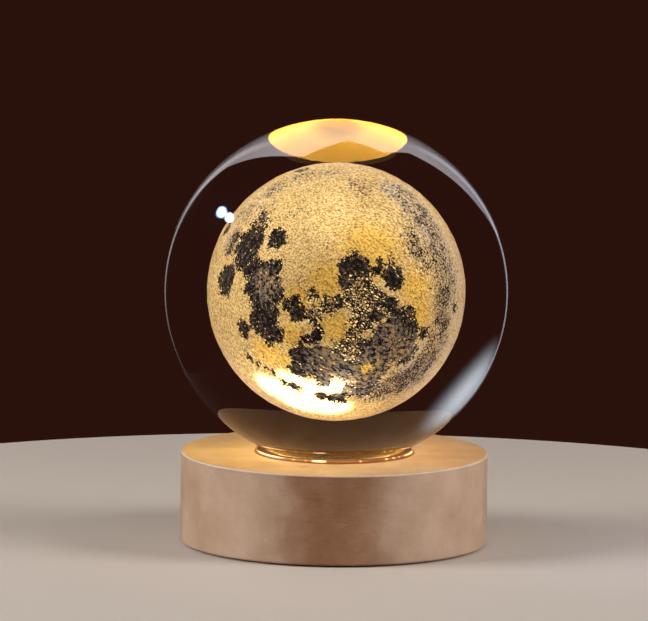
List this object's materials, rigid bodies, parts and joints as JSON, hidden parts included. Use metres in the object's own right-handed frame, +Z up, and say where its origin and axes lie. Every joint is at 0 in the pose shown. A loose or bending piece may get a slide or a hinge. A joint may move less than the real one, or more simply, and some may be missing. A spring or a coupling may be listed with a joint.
{
  "type": "moon lamp",
  "caption": "Clear crystal ball with an engraved moon inside, resting on a round lit wooden base.",
  "frame": {"origin": "middle of the base on the surface it stands on", "axes": "+Z up through the middle of the base and the ball, -Y to the front, +Y to the power jack at the rear"},
  "size_m": [0.08, 0.08, 0.0988],
  "materials": {
    "crystal": "polished clear crystal glass",
    "engraving": "engraved points inside the glass, lit warm white",
    "dark_engraving": "sparse engraved points over dark glass",
    "clear_acrylic": "polished clear acrylic, lit warm white from below",
    "frosted_acrylic": "frosted acrylic, lit warm white from below",
    "white_plastic": "matte white plastic",
    "wood": "turned pale hardwood, satin",
    "board": "white solder mask over glass-epoxy board",
    "light_package": "white moulded light package",
    "phosphor": "yellow phosphor in clear resin",
    "resistor": "black glazed chip",
    "screw_steel": "zinc-plated steel",
    "black_plastic": "black moulded plastic",
    "contact_brass": "plated brass",
    "red_insulation": "red vinyl insulation",
    "black_insulation": "black vinyl insulation",
    "solder": "bright solder",
    "cover_plastic": "black plastic with a fine grain",
    "rubber": "soft black rubber"
  },
  "bodies": {
    "base": {"wooden_base": "wood", "seat_ring": "clear_acrylic", "light_window": "frosted_acrylic", "reflector": "white_plastic", "light_board": "board", "light_packages": "light_package", "light_phosphors": "phosphor", "resistors": "resistor", "board_screws": "screw_steel", "power_jack": "black_plastic", "jack_pin": "contact_brass", "jack_contact": "contact_brass", "jack_washer": "screw_steel", "jack_nut": "screw_steel", "red_wire": "red_insulation", "black_wire": "black_insulation", "solder_joints": "solder", "bottom_cover": "cover_plastic", "cover_screws": "screw_steel", "rubber_feet": "rubber"},
    "ball": {"crystal_ball": "crystal", "moon_highlands": "engraving", "moon_seas": "dark_engraving"}
  },
  "joints": [
    {"name": "ball_lift", "type": "slide", "parent": "base", "child": "ball", "axis": [0, 0, 1], "range_m": [0, 0.06]}
  ]
}
